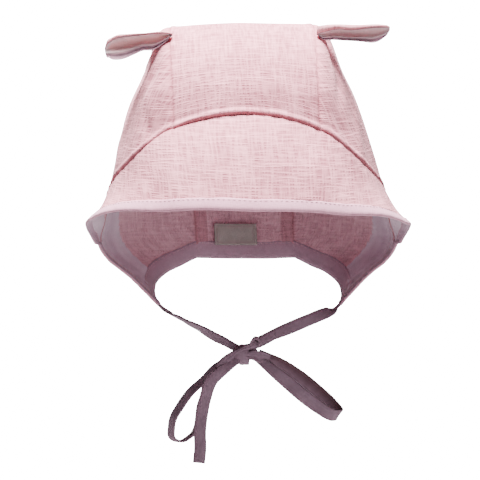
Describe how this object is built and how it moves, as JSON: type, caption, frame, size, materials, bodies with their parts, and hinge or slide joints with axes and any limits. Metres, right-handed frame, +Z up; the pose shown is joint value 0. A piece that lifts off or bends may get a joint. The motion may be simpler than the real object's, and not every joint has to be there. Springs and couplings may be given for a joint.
{
  "type": "baby sun bonnet",
  "caption": "Soft linen sun bonnet for a baby: fitted crown, scooped brim, side flaps, folded animal ears and a chin strap tied in a bow.",
  "frame": {"origin": "the highest point of the crown's inside, where a head carries the bonnet", "axes": "+Z up, -Y the way the face looks, +X to the right of someone looking at the face opening"},
  "size_m": [0.206, 0.1978, 0.2773],
  "materials": {
    "linen": "matt slubby plain-weave linen, dusty pink",
    "brim_linen": "two layers of the same linen, seam pressed and topstitched",
    "tape": "smooth pale pink binding tape with a stitched edge",
    "ear_linen": "pink linen outside, pale lining inside with a pink middle",
    "tie_tape": "soft folded mauve tape, edge stitched",
    "label_cloth": "plain pale woven label, bare"
  },
  "bodies": {
    "root": {"crown_strip": "linen", "side_panel_left": "linen", "side_panel_right": "linen", "brim": "brim_linen", "face_binding": "tape", "neck_binding": "tape", "ear_left": "ear_linen", "ear_right": "ear_linen", "label": "label_cloth", "tie_left": "tie_tape", "tie_right": "tie_tape", "bow_knot": "tie_tape", "bow_loop_left": "tie_tape", "bow_loop_right": "tie_tape", "tie_tail_left": "tie_tape", "tie_tail_right": "tie_tape"}
  },
  "joints": []
}
